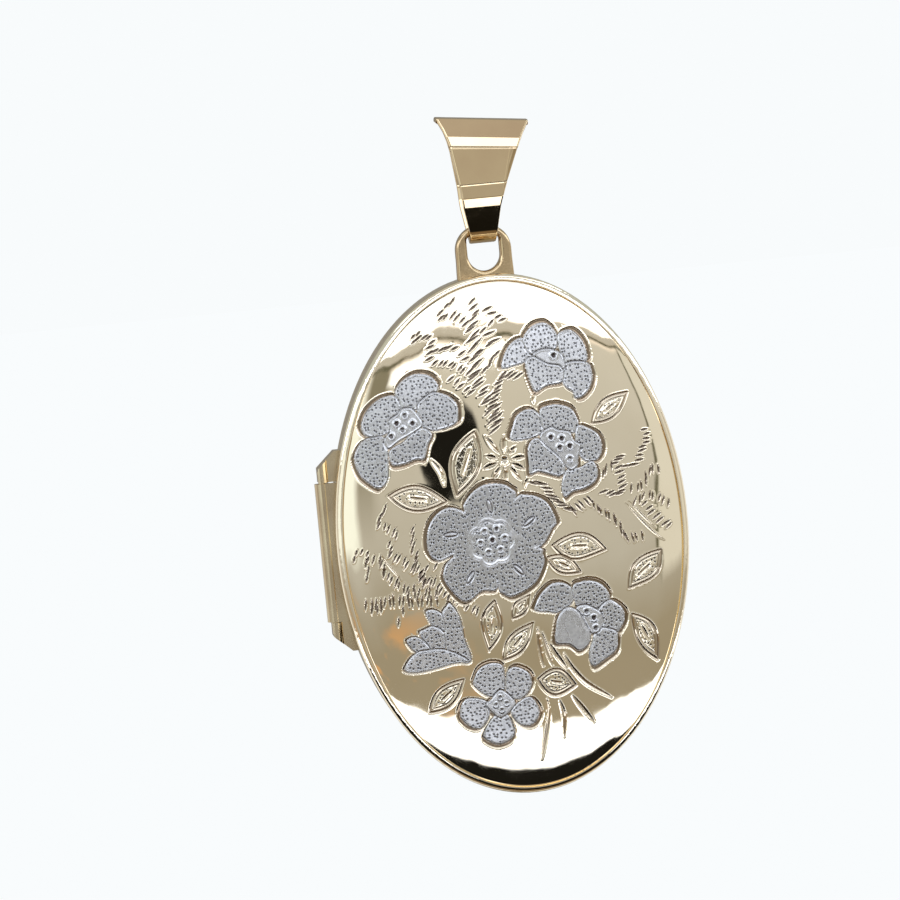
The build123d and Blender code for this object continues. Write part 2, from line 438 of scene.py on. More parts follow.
def groove(points, half_width, depth=LINE_DEPTH, tone=0.7, burr=0.012, taper=0.5, groove_shade=0.0):
    """V-shaped cut along a line, tapered at both ends, with a raised burr beside it; its floor is painted
    dark as shade.
    """
    line = smooth_line(points)
    here = patch(line, half_width + 0.12)
    gap, along = to_line(here, line)
    width = half_width * np.maximum(np.sin(math.pi * np.clip(along, 0.02, 0.98)) ** taper, 0.15)
    inside = np.clip(1 - gap / width, 0, 1)
    raised = burr * ridge(gap - width, FINE) * (gap > width)
    relief[here] = relief[here] - depth * inside * (width / half_width) + raised
    # painted shade: the groove's floor takes the darker cut colour, as strongly as tone says
    raise_to(cut, here, tone * np.minimum(inside * 2.5, 1))
    # painted shade: the last argument darkens the floor further, towards near black
    raise_to(dark, here, groove_shade * np.minimum(inside * 2, 1))


def bead(u, v, radius=0.15, ring=0.10, depth=0.10, tone=1.0):
    """Round punch mark with a raised bright ring, its hole painted dark as shade as much as tone says."""
    here = patch(np.array([[u, v]]), radius + ring + 0.1)
    gap = np.hypot(U[here] - u, V[here] - v)
    hole = np.clip(1 - (gap / radius) ** 2, 0, 1)
    lip = ridge(gap - radius - ring / 2, ring / 2)
    flat = gap < radius + ring
    relief[here] = np.where(flat, -PETAL_SINK, relief[here]) - depth * hole + 0.035 * lip
    # painted shade: the hole is darkened towards near black
    raise_to(dark, here, tone * ramp(hole, 0.15, 0.45))
    stipple[here] = np.where(gap < radius + ring + 0.05, 0, stipple[here])


def slit(u, v, angle, length=0.75, width=0.09):
    """Short bright lens inside a petal, with a dark outline: a shallow groove with painted shade."""
    turn = math.radians(angle)
    du, dv = math.cos(turn) * length / 2, math.sin(turn) * length / 2
    line = np.array([[u - du, v - dv], [u + du, v + dv]])
    here = patch(line, 0.3)
    gap, along = to_line(here, line)
    gap = gap - width * np.sqrt(np.maximum(np.sin(math.pi * along), 0))
    ring = ridge(gap - 0.04, 0.045)
    relief[here] += 0.03 * (gap < 0) - 0.05 * ring
    # painted shade along the slit's outline groove
    raise_to(dark, here, 0.95 * ring)
    stipple[here] = np.where(gap < 0.12, 0, stipple[here])


def leaf(base, tip, width, bend=0.0, slit_at=(0.36, 0.66), lean=0.0):
    """Pointed leaf: outline cut, plain border, stippled band and a lens-shaped slit; the outline cut and
    the border are painted darker as shade.
    """
    base, tip = np.array(base, float), np.array(tip, float)
    run = tip - base
    side = np.array([-run[1], run[0]]) / np.linalg.norm(run)
    steps = np.linspace(0, 1, 15)
    spine = base + steps[:, None] * run + side * (bend * np.sin(math.pi * steps))[:, None]
    spine = spine + side * (lean * np.sin(2 * math.pi * steps))[:, None]
    half = 0.47 * width * np.sin(math.pi * steps**0.92)
    left, right = spine + side * half[:, None], spine - side * half[:, None]
    loop = np.vstack([left, right[-2:0:-1]])
    here = patch(loop, 0.3)
    inner = from_loop(here, loop)
    line = -LINE_DEPTH * 1.3 * ridge(inner, 0.05)
    burr = 0.010 * ridge(inner - 0.09, FINE)
    second = ridge(inner + LEAF_BAND, FINE)
    relief[here] += line + burr - 0.035 * second * (inner < 0)
    # painted shade: the outline cut, the border band and the line inside it take the darker cut colour
    raise_to(cut, here, ridge(inner, 0.075))
    raise_to(cut, here, 0.45 * (inner < 0) * (inner > -LEAF_BAND))
    raise_to(cut, here, 0.8 * second)
    band = ramp(-inner, 0.24, 0.28)
    middle = spine[[int(14 * slit_at[0]), 7, int(round(14 * slit_at[1]))]]
    gap = to_line(here, smooth_line(middle))[0]
    clear = gap > 0.16
    stipple[here] = np.where(inner < 0, band * clear, stipple[here])
    matt[here] = np.where(inner < 0, 0.6 * band * clear, matt[here])
    ring = ridge(gap - 0.13, FINE)
    relief[here] += 0.02 * ring * (inner < -0.1)
    groove(middle, 0.09, 0.07, 0.7, 0.0)


def comb(points, pitch=0.26, length=0.46, angle=38, half_width=0.08, both=0.04, depth=0.06):
    """Fern branch: a row of short slanting cuts along a line."""
    line = smooth_line(points, 12)
    steps = np.linalg.norm(np.diff(line, axis=0), axis=1)
    total = steps.sum()
    count = max(int(total / pitch), 2)
    marks = np.linspace(0, total, count)
    at_u = np.interp(marks, np.concatenate([[0], np.cumsum(steps)]), line[:, 0])
    at_v = np.interp(marks, np.concatenate([[0], np.cumsum(steps)]), line[:, 1])
    for k, (u, v) in enumerate(zip(at_u, at_v)):
        offset = both * (1 if k % 2 else -1)
        turn = math.radians(angle + rng.uniform(-9, 9))
        long = length * rng.uniform(0.52, 0.75)
        u = u + offset + rng.uniform(-0.03, 0.03)
        v = v + rng.uniform(-0.03, 0.03)
        du, dv = long * math.cos(turn), long * math.sin(turn)
        # the last 0.6 is painted shade in each stroke's floor
        groove([(u - du, v - dv), (u + du, v + dv)], half_width, depth, 1.0, 0.015, 0.6, 0.6)


def star(u, v, tips):
    """Small flower of narrow pointed petals round a punched centre."""
    for tip_u, tip_v in tips:
        away = np.array([tip_u - u, tip_v - v])
        far = np.linalg.norm(away)
        start = np.array([u, v]) + away / far * 0.42
        middle = (start + (tip_u, tip_v)) / 2
        line = np.array([start, middle, (tip_u, tip_v)])
        groove(line, 0.17, 0.075, 0.7, 0.02, 0.8)
    bead(u, v, 0.21, 0.14, 0.09, 0.6)


# ------------------------------------------------------------------ the bouquet


def petals(heart, outlines, plain=False, bevel=PETAL_BEVEL):
    """Separate petals, each laid over the one before."""
    for outline in outlines:
        petal_shape(heart, [outline], plain, bevel)


def beads(spots, radius, ring, depth):
    """Several punch marks, each given by its place and how dark its hole is painted, as shade."""
    for u, v, tone in spots:
        bead(u, v, radius, ring, depth, tone)


def middle_flower():
    """The largest flower: five petals in one outline, laid over everything else."""
    heart = (-1.3, -0.3)
    outlines = [
        [(-28, 17), (-26, 24), (-19, 30), (-12, 32), (-4, 31), (1, 28), (4, 22), (-6, 0), (-20, 0)],
        [(4, 22), (10, 23), (17, 21), (23, 16), (27, 5), (24, 1), (14, -10), (-6, -4), (-10, 5)],
        [(14, -9), (17, -14), (17, -20), (10, -31), (-3, -37), (-9, -35), (-12, -30), (-13, -5)],
        [(-12, -30), (-22, -32), (-30, -37), (-36, -35), (-43, -25), (-44, -18), (-38, -10), (-18, -3)],
        [(-38, -9), (-47, -11), (-52, -4), (-51, 8), (-46, 16), (-39, 20), (-32, 19), (-26, 14), (-18, 0)],
    ]
    disc = [(-13 + 25 * math.cos(t), -3 + 25 * math.sin(t)) for t in np.arange(12) * math.pi / 6]
    petal_shape(heart, [*outlines, disc])
    veins = ((-1.25, 1.85, -79), (1.05, 0.7, 35), (-3.75, 0.4, 0), (-2.8, -2.3, 55), (0.15, -2.15, -50))
    for u, v, angle in veins:
        slit(u, v, angle)
    scalloped_disc(heart, 1.42, 0.14, 7)
    bead(-1.27, -0.2, 0.15)
    for k in range(6):
        turn = math.radians(66 + 60 * k)
        u, v = -1.27 + 0.74 * math.cos(turn), -0.22 + 0.74 * math.sin(turn)
        bead(u, v, 0.13, 0.10, 0.08, 0.55 if k else 0.9)


def scalloped_disc(heart, radius, wave, lobes):
    """Raised ring with a wavy edge round a flower's centre."""
    turns = np.linspace(0, 2 * math.pi, 16 * lobes, endpoint=False)
    reach = radius * (1 - wave * (1 - np.abs(np.cos(lobes / 2 * turns))))
    loop = np.stack([heart[0] + reach * np.cos(turns), heart[1] + reach * np.sin(turns)], 1)
    here = patch(loop, 0.2)
    gap = from_loop(here, loop)
    relief[here] = np.where(gap < 0.08, -PETAL_SINK, relief[here])
    relief[here] += 0.018 * ridge(gap, 0.08) - 0.018 * ridge(gap + 0.15, 0.06)
    stipple[here] = np.where(np.abs(gap) < 0.2, 0, stipple[here])


def left_poppy():
    """Flower at the upper left, its centre a plain disc with five punch marks."""
    heart = (-5.9, 7.2)
    outlines = [
        [(-63, 90), (-61, 96), (-56, 100), (-50, 102), (-43, 101), (-38, 97), (-37, 91), (-47, 82),
         (-60, 80)],
        [(-50, 83), (-46, 87), (-40, 90), (-33, 88), (-28, 84), (-26, 79), (-28, 70), (-42, 67), (-50, 72)],
        [(-63, 90), (-71, 90), (-78, 86), (-83, 80), (-85, 72), (-80, 67), (-68, 69), (-60, 80)],
        [(-79, 67), (-86, 65), (-91, 56), (-89, 46), (-84, 40), (-78, 36), (-73, 39), (-71, 46), (-71, 65)],
        [(-70, 55), (-68, 59), (-60, 63), (-53, 69), (-47, 69), (-43, 65), (-46, 59), (-49, 51),
         (-54, 51), (-61, 49), (-68, 49)],
    ]
    petals(heart, outlines)
    outline = [(-68, 76), (-63, 79), (-60, 82), (-54, 82), (-50, 77), (-48, 71), (-54, 67), (-63, 63),
               (-70, 59), (-72, 65), (-68, 70)]
    petals(heart, [outline], plain=True)
    spots = ((-5.83, 7.8, 0.5), (-6.36, 7.37, 1), (-5.4, 7.28, 1), (-6.04, 6.96, 0.7), (-6.75, 6.64, 0.8))
    beads(spots, 0.14, 0.10, 0.09)


def top_poppy():
    """Cup-shaped flower at the top, with a short stalk."""
    heart = (3.2, 10.2)
    outlines = [
        [(3, 100), (4, 106), (8, 113), (14, 117), (19, 116), (23, 108), (19, 103), (11, 101)],
        [(17, 115), (21, 122), (27, 125), (33, 124), (38, 117), (36, 108), (22, 106)],
        [(38, 116), (42, 119), (47, 119), (52, 114), (55, 106), (54, 99), (43, 97), (39, 105)],
        [(54, 99), (57, 94), (57, 88), (54, 82), (49, 78), (45, 78), (44, 82), (39, 87), (41, 99)],
    ]
    petals(heart, outlines)
    outline = [(22, 106), (27, 109), (33, 109), (39, 106), (41, 101), (40, 96), (26, 99)]
    petals(heart, [outline], plain=True)
    outline = [(17, 100), (18, 104), (22, 105.5), (26, 103), (31, 100), (38, 98), (40, 93), (38, 88),
               (29, 87), (22, 84), (19, 90)]
    petals(heart, [outline])
    bead(3.47, 10.49, 0.15, 0.12)
    groove([(2.1, 8.3), (2.0, 8.0), (1.98, 7.7)], 0.13, 0.09, 0.6, 0.02)


def right_poppy():
    """Cup-shaped flower on the right, above the middle, with a short stalk."""
    heart = (3.3, 5.0)
    outlines = [
        [(4, 57), (6, 65), (9, 71), (15, 74), (20, 73), (24, 68), (25, 62), (22, 58), (13, 56)],
        [(23, 72), (28, 75), (35, 75), (42, 72), (45, 67), (46, 61), (42, 57), (26, 59)],
        [(45, 61), (52, 59), (57, 55), (59, 49), (58, 43), (54, 39), (47, 40), (43, 49)],
        [(37, 36), (44, 36), (51, 39), (54, 37), (55, 31), (52, 26), (46, 23), (39, 22), (34, 19),
         (32, 23), (33, 30)],
    ]
    petals(heart, outlines)
    outline = [(22, 58), (29, 62), (33, 60), (40, 58), (42, 53), (46, 49), (44, 42), (43, 37), (38, 35),
               (32, 42), (24, 49)]
    petals(heart, [outline], plain=True)
    outline = [(14, 51), (17, 55.5), (21, 56), (25, 51), (31, 45), (35, 39), (35, 34), (31, 32), (25, 34),
               (19, 36), (14, 35), (13.5, 41)]
    petals(heart, [outline])
    spots = ((2.84, 5.59, 1), (3.49, 5.45, 1), (3.32, 4.93, 0.9), (3.94, 4.95, 1), (3.87, 4.17, 0.4))
    beads(spots, 0.15, 0.10, 0.09)
    groove([(1.0, 2.7), (1.05, 3.0), (1.3, 3.3)], 0.13, 0.09, 0.6, 0.02)


def lower_poppy():
    """Cup-shaped flower at the lower right, with three punch marks."""
    heart = (3.9, -5.6)
    outlines = [
        [(9, -47), (11, -41), (15, -36), (21, -32), (28, -32.5), (33, -37), (32, -45), (23, -50),
         (17, -49)],
        [(33, -36), (38, -33), (45, -33), (51, -36), (55, -42), (54, -47), (47, -52), (36, -51)],
        [(54, -46), (59, -48), (63, -53), (63, -59), (60, -64), (57, -66), (48, -61), (47, -52)],
        [(57, -65), (58, -71), (56, -77), (50, -81), (42, -85), (39.5, -81), (40, -75), (42, -70),
         (46, -62)],
    ]
    petals(heart, outlines)
    inner = [
        [(34, -49), (39, -47), (44, -49), (49, -53), (50, -59), (47, -64), (42, -65), (37, -58)],
        [(21, -58), (23, -52), (27, -48), (32, -48), (36, -52), (39, -59), (41.5, -65), (40, -71),
         (34, -74.5), (28, -70), (20, -68)],
    ]
    petals(heart, inner, plain=True)
    beads(((4.03, -5.13, 0.7), (4.44, -5.56, 1), (4.5, -6.2, 0.8)), 0.15, 0.11, 0.10)


def bottom_flower():
    """Five round petals at the bottom, their plain centre with four punch marks."""
    heart = (-1.67, -10.2)
    outlines = [
        [(-32, -89), (-31, -83), (-27, -78), (-20, -76), (-14, -78), (-13, -84), (-15, -96), (-24, -96)],
        [(-12, -84), (-8, -80), (-3, -81), (2, -85), (3, -91), (0, -97), (-6, -100), (-13, -97)],
        [(-1, -99), (4, -102), (6, -109), (3, -115), (-2, -117), (-8, -114), (-11, -106)],
        [(-28, -116), (-29, -121), (-24, -125), (-19, -126), (-13, -124), (-10, -119), (-13, -109),
         (-21, -108)],
        [(-33, -96), (-39, -97), (-42, -103), (-41, -109), (-36, -114), (-30, -115), (-25, -109),
         (-24, -100)],
    ]
    petals(heart, outlines, bevel=0.24)
    core = [(-22.5, -98), (-17, -93), (-12, -96), (-8, -102), (-12, -107), (-18, -110), (-23, -106),
            (-26, -101)]
    petals(heart, [core], plain=True)
    # how dark the bead holes are painted, as shade
    tone = 0.45
    spots = ((-1.71, -9.74, tone), (-1.35, -10.13, tone), (-2.0, -10.16, tone), (-1.66, -10.52, tone))
    beads(spots, 0.11, 0.09, 0.07)


def bellflower():
    """Bell of five pointed petals at the lower left."""
    heart = (-3.6, -7.0)
    outlines = [
        [(-48, -44), (-44, -38.5), (-42, -37), (-38, -43), (-36, -50), (-35, -60), (-32, -72), (-37, -74),
         (-46, -66), (-47, -54)],
        [(-57, -41), (-52, -40), (-47, -44), (-46.5, -54), (-51, -52), (-55, -48)],
        [(-62, -53), (-58, -51), (-53, -50), (-47, -55), (-48, -66), (-56, -64), (-60, -58)],
        [(-70, -57), (-65, -55), (-60, -58), (-56, -65), (-63, -66), (-68, -62)],
        [(-73, -75), (-70, -69), (-65, -65), (-59, -64), (-47, -65), (-34, -73), (-44, -74), (-55, -76),
         (-66, -77)],
    ]
    petals(heart, outlines, bevel=0.13)


def leaves():
    """All the leaves, and the stalk below the left flower."""
    leaf((-1.75, 6.4), (-3.15, 2.7), 1.85, 0.0, (0.3, 0.65))
    leaf((-7.25, 3.1), (-3.8, 2.4), 1.6)
    leaf((5.4, 6.2), (7.75, 7.85), 1.25)
    leaf((2.3, -0.9), (5.55, -1.5), 1.7, 0.08, (0.36, 0.62), -0.07)
    leaf((1.9, -1.6), (3.9, -2.7), 1.1)
    leaf((8.95, -1.9), (6.75, -4.0), 1.55, 0.0, (0.4, 0.7), 0.07)
    leaf((6.8, -5.6), (8.15, -8.55), 1.35, 0.15, (0.35, 0.6), 0.05)
    leaf((-1.5, -3.85), (-2.1, -6.8), 1.3, 0.0, (0.4, 0.64), -0.06)
    leaf((-0.5, -5.05), (0.65, -3.75), 0.85)
    leaf((-1.3, -7.5), (0.7, -5.45), 1.2)
    leaf((-6.05, -10.2), (-3.8, -8.4), 1.25)
    leaf((0.7, -8.9), (2.95, -9.5), 1.7)
    groove([(-4.5, 5.0), (-4.0, 4.2), (-3.85, 3.4)], 0.14, 0.08, 0.4, 0.03)


def small_star():
    """Star flower above the middle."""
    right = [(0, 6.0), (0.7, 5.3), (1.25, 4.6), (1.15, 3.8), (0.8, 3.15)]
    left = [(-0.1, 3.15), (-0.9, 3.4), (-1.5, 4.1), (-1.25, 4.9), (-1.15, 6.1)]
    star(-0.1, 4.52, right + left)


def grass():
    """Long blades and stems below the bouquet."""
    blades = [
        [(0.95, -5.8), (0.97, -6.9), (1.1, -8.1)],
        [(1.2, -6.1), (1.4, -7.1), (1.65, -8.1)],
        [(1.6, -6.8), (2.0, -7.6), (2.5, -8.4)],
        [(2.4, -7.5), (2.9, -8.5), (3.7, -9.5), (5.1, -10.5)],
        [(1.15, -10.1), (1.1, -11.4), (0.5, -13.8)],
        [(1.9, -10.3), (2.1, -11.2), (2.0, -12.6)],
        [(2.7, -10.1), (3.3, -11.0), (3.9, -11.9)],
    ]
    for points in blades:
        groove(points, 0.13, 0.08, 0.7, 0.03, 0.5)


def top_fern():
    """Fern that rises from the star to the top of the plate."""
    stem = [(-0.45, 6.4), (-0.7, 7.9), (-1.05, 8.9), (-1.4, 9.7), (-1.25, 10.9), (-1.3, 12.8)]
    comb(stem, 0.27, 0.7, 32, both=0.1)
    comb([(-0.2, 6.9), (-0.35, 8.1), (-0.1, 8.9), (0.3, 9.6), (1.2, 9.45)], 0.27, 0.6, 30)
    comb([(-1.1, 13.2), (-1.0, 13.6), (-1.2, 14.2)], length=0.5)
    comb([(-1.6, 12.9), (-1.9, 13.2), (-2.4, 13.5), (-3.1, 13.4)], length=0.5)
    comb([(-3.05, 13.7), (-2.75, 14.1), (-2.3, 14.35)], angle=45)
    comb([(0.6, 12.9), (0.1, 13.3), (-0.3, 13.65)], length=0.5, angle=15)
    comb([(-0.1, 12.8), (-0.7, 12.4)], length=0.55)
    comb([(0.0, 11.7), (-0.35, 12.2)], length=0.6, angle=10)
    comb([(-0.9, 11.1), (-0.4, 11.5)], length=0.5, angle=30)
    comb([(-1.8, 10.8), (-2.4, 11.5)], length=0.5, angle=25)
    comb([(-2.8, 11.6), (-3.6, 11.5)], length=0.5, angle=30)
    hook = [(-4.0, 11.05), (-3.95, 11.6), (-3.8, 11.95), (-3.9, 12.3), (-4.4, 12.35), (-4.85, 12.2)]
    comb(hook, angle=25)
    comb([(-4.85, 12.45), (-4.6, 12.6)], 0.2, 0.35)
    comb([(-1.5, 9.8), (-2.0, 10.1), (-2.9, 10.6), (-3.7, 10.75)])
    comb([(-1.7, 8.75), (-2.2, 9.2), (-2.8, 9.7)])
    comb([(-0.75, 10.0), (-0.4, 10.4), (0.0, 10.9)], angle=45)


def right_fern():
    """Fern at the right, with two bare stems."""
    comb([(1.5, 3.0), (2.1, 2.8), (2.6, 2.0), (3.2, 1.4), (3.7, 1.1)], 0.26, 0.62, 165)
    comb([(3.8, 1.1), (4.3, 1.4), (4.9, 1.6)], 0.22, 0.6, 125)
    comb([(4.9, 2.6), (5.6, 3.0), (6.3, 3.5)], 0.26, 0.55, 80)
    stem = [(5.8, 2.0), (6.3, 1.8), (6.8, 1.8), (6.9, 2.4), (6.8, 3.2), (6.6, 3.7), (7.0, 4.0)]
    comb(stem, length=0.5, angle=15)
    comb([(7.3, 3.4), (7.9, 3.5), (8.3, 4.3), (8.7, 4.9), (8.6, 5.5)], angle=8)
    comb([(7.5, 2.0), (8.2, 2.2), (8.7, 3.0), (9.2, 3.0)], angle=85)
    comb([(7.6, 1.2), (8.4, 1.5), (9.2, 1.2), (9.6, 0.9)], length=0.5, angle=75)
    comb([(8.2, 1.0), (8.6, 0.4), (9.1, -0.1), (9.6, -0.5)], length=0.5, angle=35)
    comb([(5.1, 1.3), (5.5, 0.8), (6.0, 0.5), (6.5, -0.1), (6.9, -0.9), (7.8, -0.9)], 0.26, 0.5, 100)
    groove([(7.0, 1.2), (7.9, 0.0), (8.6, -0.8), (9.2, -1.3)], 0.06, 0.05, 0.6)
    groove([(7.2, 1.3), (8.0, 0.3), (8.7, -0.5)], 0.05, 0.05, 0.6)


def left_fern():
    """Fern at the left, with one bare stem."""
    comb([(-7.5, 2.4), (-7.85, 1.95), (-8.05, 1.5), (-7.5, 1.2), (-7.0, 0.7)], angle=66)
    upper = [(-7.45, 0.2), (-7.4, -0.5), (-7.0, -0.7), (-6.5, -1.15), (-6.0, -1.6), (-5.65, -2.3)]
    comb(upper, length=0.5, angle=60)
    comb([(-6.0, 0.9), (-6.1, 0.3), (-6.1, -0.3), (-5.9, -0.7), (-6.0, -1.2), (-5.4, -2.2)], angle=64)
    middle = [(-8.5, -0.6), (-8.15, -0.7), (-7.95, -1.45), (-7.45, -2.0), (-6.85, -2.55), (-6.3, -2.6)]
    comb(middle, length=0.52, angle=72)
    lower = [(-9.2, -3.3), (-8.4, -3.35), (-7.7, -3.2), (-6.9, -3.3), (-6.2, -3.4), (-5.0, -3.5)]
    comb(lower, length=0.6, angle=84)
    comb([(-8.9, -3.6), (-8.3, -3.65)], 0.2, 0.4, 84)
    comb([(-6.6, -3.0), (-5.6, -2.9), (-5.0, -3.0)], length=0.55, angle=75)
    comb([(-5.6, -2.4), (-5.0, -2.35), (-4.7, -2.9), (-4.2, -3.3)], length=0.5, angle=60)
    comb([(-5.35, -1.45), (-4.9, -1.4)], angle=50)
    comb([(-9.65, -0.5), (-9.5, -0.1), (-8.95, -0.1), (-8.8, -0.6)], length=0.36, angle=70)
    comb([(-8.95, -0.8), (-9.0, -1.7)], length=0.5, angle=75)
    comb([(-7.05, -3.9), (-7.45, -4.5)], 0.3, angle=82)
    comb([(-4.2, -3.4), (-3.4, -3.9), (-2.7, -4.3), (-2.3, -4.6)], angle=62)
    groove([(-8.1, -0.3), (-7.7, -1.0), (-7.0, -2.0)], 0.05, 0.05, 0.6)


def engrave():
    """Cut the whole bouquet, the parts that lie behind first."""
    top_fern()
    right_fern()
    left_fern()
    grass()
    small_star()
    leaves()
    bellflower()
    bottom_flower()
    lower_poppy()
    top_poppy()
    right_poppy()
    left_poppy()
    middle_flower()


def plate_mesh():
    """Faces of the plate's front grid, fine only where it is cut, and the points in a grid row."""
    busy_point = (np.abs(relief) > 1e-4) | (white > 0) | (cut > 0.02)
    busy = np.zeros((BLOCKS_U, BLOCKS_V), bool)
    for i in range(BLOCK + 1):
        for j in range(BLOCK + 1):
            corner = busy_point[i : i + BLOCK * BLOCKS_U : BLOCK, j : j + BLOCK * BLOCKS_V : BLOCK]
            busy |= corner[:BLOCKS_U, :BLOCKS_V]
    busy[[0, -1], :] = False
    busy[:, [0, -1]] = False
    across = BLOCK * BLOCKS_V + 1

    def index(i, j):
        return i * across + j

    faces = []
    for a in range(BLOCKS_U):
        for b in range(BLOCKS_V):
            i, j = a * BLOCK, b * BLOCK
            if busy[a, b]:
                for p in range(i, i + BLOCK):
                    for q in range(j, j + BLOCK):
                        faces.append((index(p, q), index(p + 1, q), index(p + 1, q + 1), index(p, q + 1)))
                continue
            low = [index(p, j) for p in range(i, i + BLOCK)]
            right = [index(i + BLOCK, q) for q in range(j, j + BLOCK)]
            high = [index(p, j + BLOCK) for p in range(i + BLOCK, i, -1)]
            left = [index(i, q) for q in range(j + BLOCK, j, -1)]
            walk = []
            sides = ((low, a, b - 1), (right, a + 1, b), (high, a, b + 1), (left, a - 1, b))
            for side, c, d in sides:
                fine = 0 <= c < BLOCKS_U and 0 <= d < BLOCKS_V and busy[c, d]
                walk.extend(side if fine else side[:1])
            faces.append(tuple(walk))
    return faces, across


def engraved_plate():
    """The cover's domed plate with the bouquet cut into it."""
    engrave()
    faces, across = plate_mesh()
    rise = dome(PLATE_U, PLATE_V)
    height = rise - SUNK + np.clip(relief, -0.2, SUNK)
    base = np.stack([PLATE_U, PLATE_V, height], -1).reshape(-1, 3)
    inner_u = PLATE_U[:: BLOCK * INNER_STEP, :: BLOCK * INNER_STEP]
    inner_v = PLATE_V[:: BLOCK * INNER_STEP, :: BLOCK * INNER_STEP]
    inner = np.stack([inner_u, inner_v, dome(inner_u, inner_v, SHEET)], -1).reshape(-1, 3)
    start = len(base)
    rows, columns = inner_u.shape

    def inside(i, j):
        return start + i * columns + j

    for i in range(rows - 1):
        for j in range(columns - 1):
            faces.append((inside(i, j), inside(i, j + 1), inside(i + 1, j + 1), inside(i + 1, j)))
    step = BLOCK * INNER_STEP
    last_i, last_j = BLOCK * BLOCKS_U, BLOCK * BLOCKS_V
    for i in range(rows - 1):
        outer = [(i * step + k * BLOCK) * across for k in range(INNER_STEP + 1)]
        faces.append((*reversed(outer), inside(i, 0), inside(i + 1, 0)))
        outer = [(i * step + k * BLOCK) * across + last_j for k in range(INNER_STEP + 1)]
        faces.append((*outer, inside(i + 1, columns - 1), inside(i, columns - 1)))
    for j in range(columns - 1):
        outer = [j * step + k * BLOCK for k in range(INNER_STEP + 1)]
        faces.append((*outer, inside(0, j + 1), inside(0, j)))
        outer = [last_i * across + j * step + k * BLOCK for k in range(INNER_STEP + 1)]
        faces.append((*reversed(outer), inside(rows - 1, j), inside(rows - 1, j + 1)))
    points = np.vstack([base, inner])
    used = np.zeros(len(points), int)
    for face in faces:
        used[list(face)] = 1
    number = np.cumsum(used) - 1
    faces = [tuple(int(number[k]) for k in face) for face in faces]
    kept = points[used == 1]
    crown = plate_low.y + DOME_HEIGHT * MM
    u, v, out = kept.T * MM
    places = np.stack([plate_middle.x + u, crown - out, plate_middle.z + v], -1)
    gold_plate = engraved_gold()
    piece = add_piece("engraved_plate", places, faces, "cover", gold_plate, "cover_shell")
    named = {"white": white, "cut": cut, "matt": matt, "dark": dark, "stipple": stipple}
    for name, values in named.items():
        full = np.concatenate([values.reshape(-1), np.zeros(len(inner))])
        add_values(piece.data, name, full[used == 1])


# ------------------------------------------------------------------------- bail

BAIL_WALL = 0.30
BAIL_EYE_RADIUS = 1.25
BAIL_FACETS = [
    *((0, 2.18), (-0.75, 2.06), (-1.13, 1.50), (-1.45, 0.95), (-1.70, 0.42), (-1.68, 0.36)),
    *((-1.705, 0.28), (-1.71, -1.74), (-1.69, -1.80), (-1.70, -1.87), (-1.67, -2.62), (-1.537, -3.18)),
]
BAIL_FLARE = [(2.95, 2.40), (2.24, 0.94), (1.54, -1.41), (0.90, -4.45), (0.78, -5.60)]
BAIL_BACK_SHARE = 0.80
BAIL_HALF_DEPTH = 2.0
BAIL_EDGE_DROP = 0.07
BAIL_BEVEL = 0.05
BAIL_RIGHT_BEVEL = 0.42
BAIL_LEAN = 6.2
LEAN_START = 1.2
BAR_Z = -4.55


def soften(points, reach=0.05, hold=0.02):
    """Facet line with each inner corner rounded and held flat beside it."""
    rows = [points[0]]
    for before, corner, after in zip(points[:-2], points[1:-1], points[2:]):
        space = min(np.linalg.norm(before - corner), np.linalg.norm(after - corner))
        back = (before - corner) / np.linalg.norm(before - corner)
        on = (after - corner) / np.linalg.norm(after - corner)
        near = min(reach, 0.25 * space)
        far = min(reach + hold, 0.4 * space)
        rows.append(corner + back * far)
        for t in (0, 0.25, 0.5, 0.75, 1):
            rows.append(corner + back * near * (1 - t) ** 2 + on * near * t**2)
        rows.append(corner + on * far)
    rows.append(points[-1])
    return np.array(rows)


def bail_profile():
    """Outer side line of the folded strap, front top to back top round the eye, in millimetres."""
    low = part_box("bail")[0].z / MM
    eye = np.array([0, low + BAIL_EYE_RADIUS])
    last = np.array(BAIL_FACETS[-1])
    away = last - eye
    reach = np.linalg.norm(away)
    start = math.atan2(away[1], away[0]) + math.acos(BAIL_EYE_RADIUS / reach)
    turns = np.linspace(start, 1.5 * math.pi, 22)
    arc = eye + BAIL_EYE_RADIUS * np.stack([np.cos(turns), np.sin(turns)], 1)
    front = soften(np.vstack([BAIL_FACETS, arc[:1]]))
    half = np.vstack([front, arc[1:]])
    return np.vstack([half, (half * (-1, 1))[-2:0:-1]])


def bail_width(y, z):
    """Half width of the strap at a point of its side line: flared upwards, narrower at the back."""
    flare = np.array(BAIL_FLARE)[::-1]
    steps = smooth_line(flare, 12)
    share = 1 - (1 - BAIL_BACK_SHARE) * np.clip(y / BAIL_HALF_DEPTH, 0, 1)
    return share * np.interp(z, steps[:, 1], steps[:, 0])


